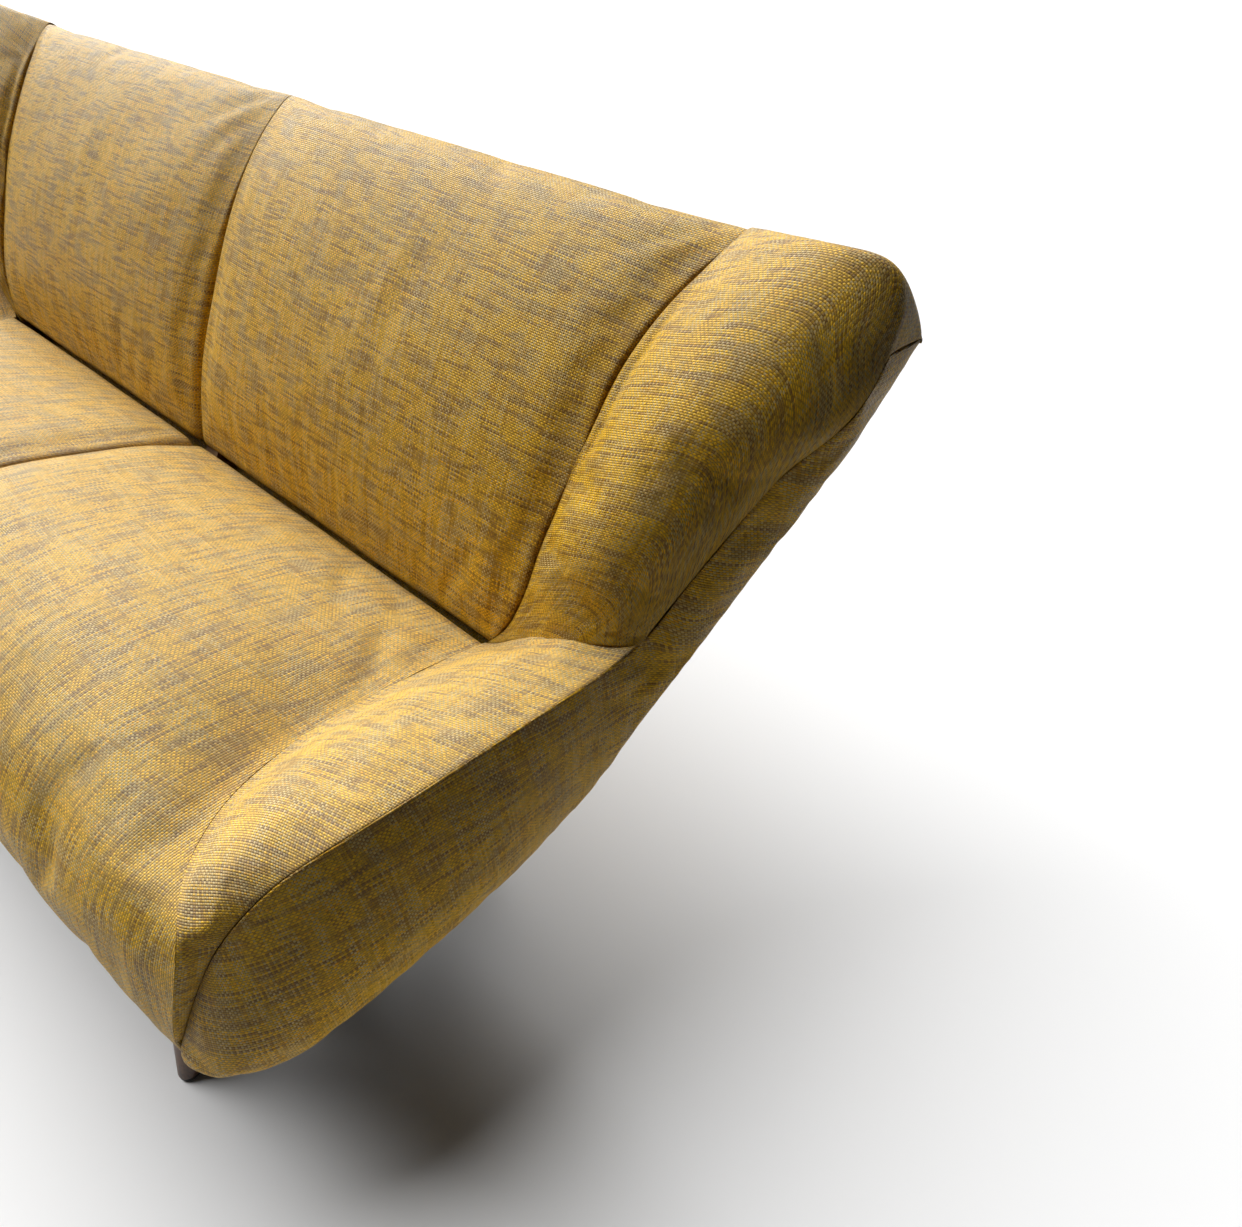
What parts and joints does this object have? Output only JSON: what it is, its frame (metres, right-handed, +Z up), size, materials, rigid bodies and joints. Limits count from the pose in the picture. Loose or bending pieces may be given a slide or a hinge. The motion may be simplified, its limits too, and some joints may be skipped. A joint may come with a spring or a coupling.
{
  "type": "sofa with wooden legs",
  "caption": "Two-seat winged sofa with a leaning back, low wrapped arms, fixed woven upholstery and splayed turned wooden legs.",
  "frame": {"origin": "on the floor under the middle of the sofa's outline", "axes": "+X to the right seen from the front, along the sofa; +Y to the back; +Z up"},
  "size_m": [1.93, 0.7942, 0.811],
  "materials": {
    "upholstery": "coarse slubby basket weave in mustard yellow, lilac-grey and dark brown yarns",
    "lining": "matt black non-woven dust cover",
    "webbing": "natural jute hessian and webbing",
    "frame_wood": "planed unfinished beech",
    "legs": "dark stained walnut, satin lacquer",
    "steel": "zinc plated steel",
    "glides": "matt black nylon"
  },
  "bodies": {
    "root": {"arm_board_left": "frame_wood", "arm_board_right": "frame_wood", "arm_pad_left": "upholstery", "arm_pad_right": "upholstery", "arm_rib_left": "frame_wood", "arm_rib_right": "frame_wood", "back_pad_left": "upholstery", "back_pad_right": "upholstery", "back_post_centre": "frame_wood", "back_post_left": "frame_wood", "back_post_right": "frame_wood", "back_rail": "frame_wood", "back_strap_high": "webbing", "back_strap_low": "webbing", "back_strap_middle": "webbing", "centre_rail": "frame_wood", "corner_block_front_left": "frame_wood", "corner_block_front_right": "frame_wood", "corner_block_rear_left": "frame_wood", "corner_block_rear_right": "frame_wood", "dust_cover": "lining", "front_rail": "frame_wood", "glide_front_left": "glides", "glide_front_right": "glides", "glide_rear_left": "glides", "glide_rear_right": "glides", "leg_bolt_front_left": "steel", "leg_bolt_front_right": "steel", "leg_bolt_rear_left": "steel", "leg_bolt_rear_right": "steel", "leg_front_left": "legs", "leg_front_right": "legs", "leg_plate_front_left": "steel", "leg_plate_front_right": "steel", "leg_plate_rear_left": "steel", "leg_plate_rear_right": "steel", "leg_rear_left": "legs", "leg_rear_right": "legs", "outside_back": "upholstery", "outside_side_left": "upholstery", "outside_side_right": "upholstery", "seat_deck_left": "webbing", "seat_deck_right": "webbing", "seat_pad_left": "upholstery", "seat_pad_right": "upholstery", "seat_spring_1": "steel", "seat_spring_2": "steel", "seat_spring_3": "steel", "seat_spring_4": "steel", "seat_spring_5": "steel", "seat_spring_6": "steel", "side_rail_left": "frame_wood", "side_rail_right": "frame_wood", "top_rail": "frame_wood", "wing_frame_left": "frame_wood", "wing_frame_right": "frame_wood", "wing_pad_left": "upholstery", "wing_pad_right": "upholstery"}
  },
  "joints": []
}
